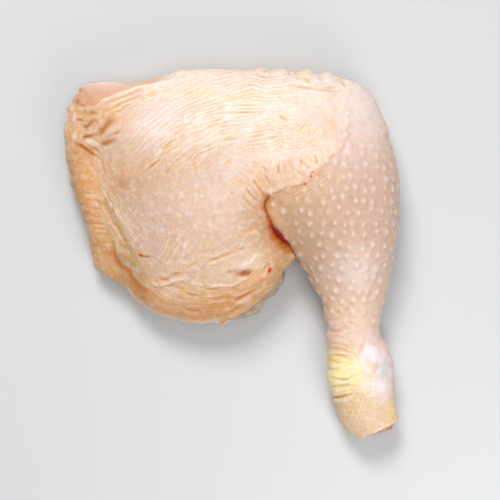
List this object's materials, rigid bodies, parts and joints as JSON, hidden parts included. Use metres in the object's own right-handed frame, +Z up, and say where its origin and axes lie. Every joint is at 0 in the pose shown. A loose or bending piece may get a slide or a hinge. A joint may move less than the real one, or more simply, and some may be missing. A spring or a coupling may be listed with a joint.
{
  "type": "raw chicken leg quarter",
  "caption": "Raw chicken leg quarter, thigh and drumstick in one skin-covered piece with a stub of shank, lying skin side up.",
  "frame": {"origin": "under the middle of the leg's bounding box, on the surface that it lies on", "axes": "+X from the hip edge towards the drumstick, +Y from the cut shank up to the knee, +Z up out of the skin side"},
  "size_m": [0.1494, 0.1657, 0.0408],
  "materials": {
    "raw_skin": "moist pale pink and cream poultry skin"
  },
  "bodies": {
    "root": {"leg_quarter": "raw_skin"}
  },
  "joints": []
}
